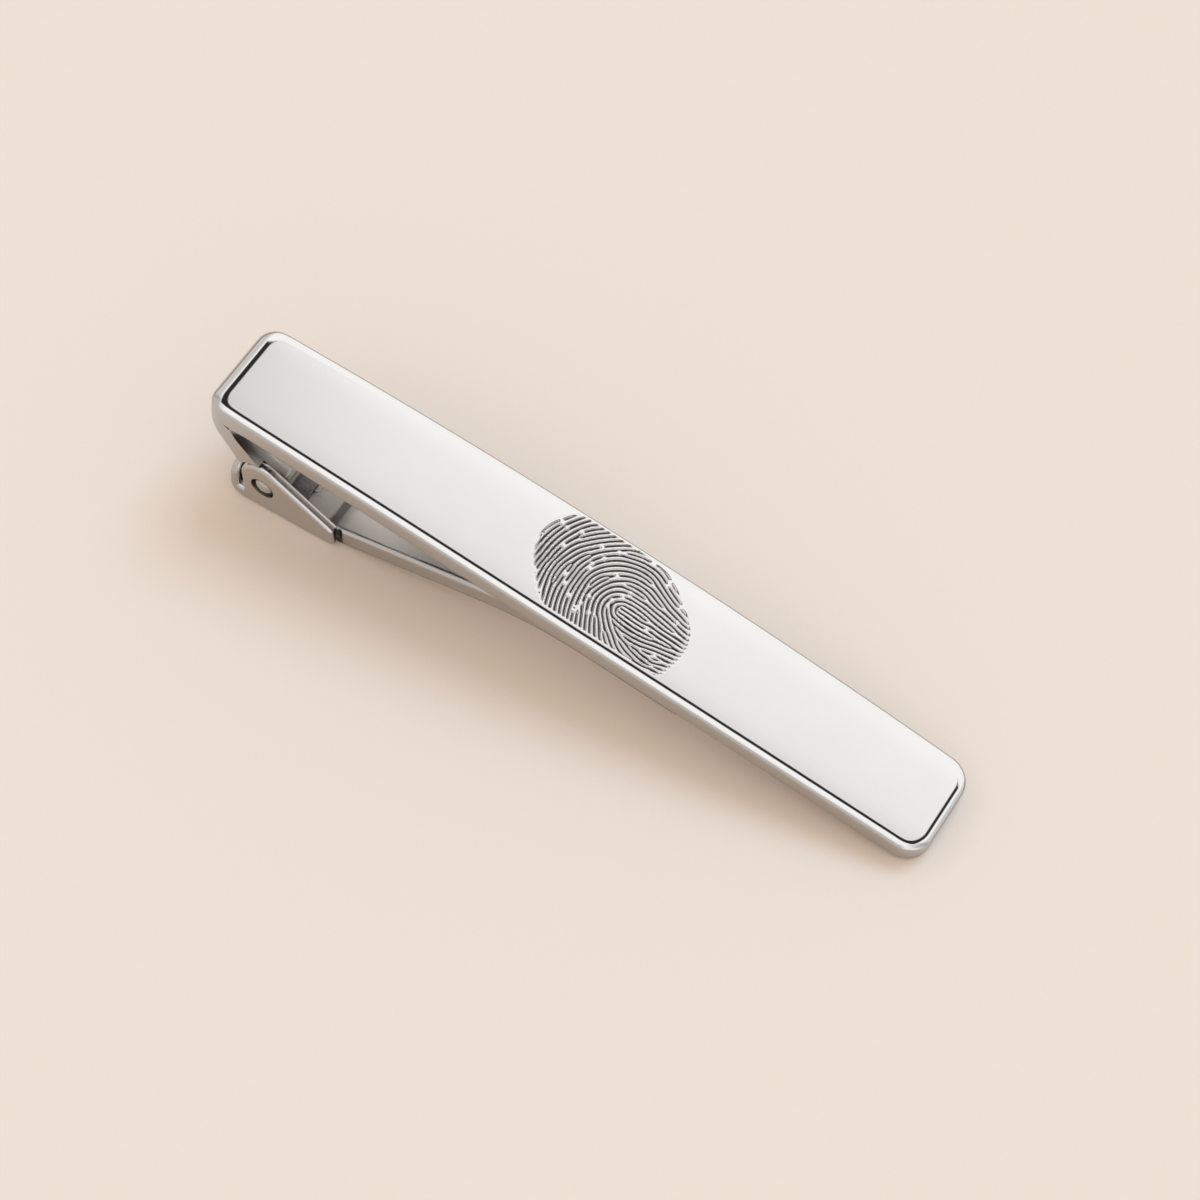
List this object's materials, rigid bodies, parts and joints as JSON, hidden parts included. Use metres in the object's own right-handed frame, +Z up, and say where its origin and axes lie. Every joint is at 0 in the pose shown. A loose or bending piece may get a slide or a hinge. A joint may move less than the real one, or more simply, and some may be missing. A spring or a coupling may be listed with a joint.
{
  "type": "tie clip",
  "caption": "Sprung tie clip: a slim arched metal bar whose folded leg pivots on a lever with a thumb tab, so the lever's arm grips a necktie and shirt placket behind the bar.",
  "frame": {"origin": "Middle of the bounding box at its lowest level: the clip lies face up on a table, on the flat floor of the lever and the toe of the bar.", "axes": "+X runs along the bar from the hinge to the toe, +Y lies along the hinge pin, +Z is up, away from the table."},
  "size_m": [0.0594, 0.0086, 0.0108],
  "materials": {
    "polished_plate": "mirror-polished bright plating",
    "spring_steel": "plain spring steel strip"
  },
  "bodies": {
    "lever": {"lever": "polished_plate", "hinge_pin": "polished_plate", "leaf_spring": "spring_steel"},
    "bar": {"front_bar": "polished_plate"}
  },
  "joints": [
    {"name": "bar_hinge", "type": "hinge", "parent": "lever", "child": "bar", "pos_m": [-0.02524, 0, 0.00291], "axis": [0, -1, 0], "range_deg": [0, 20], "stiffness_Nm_per_rad": 0.12, "springref_deg": -34.38, "deforming": ["leaf_spring"]}
  ]
}
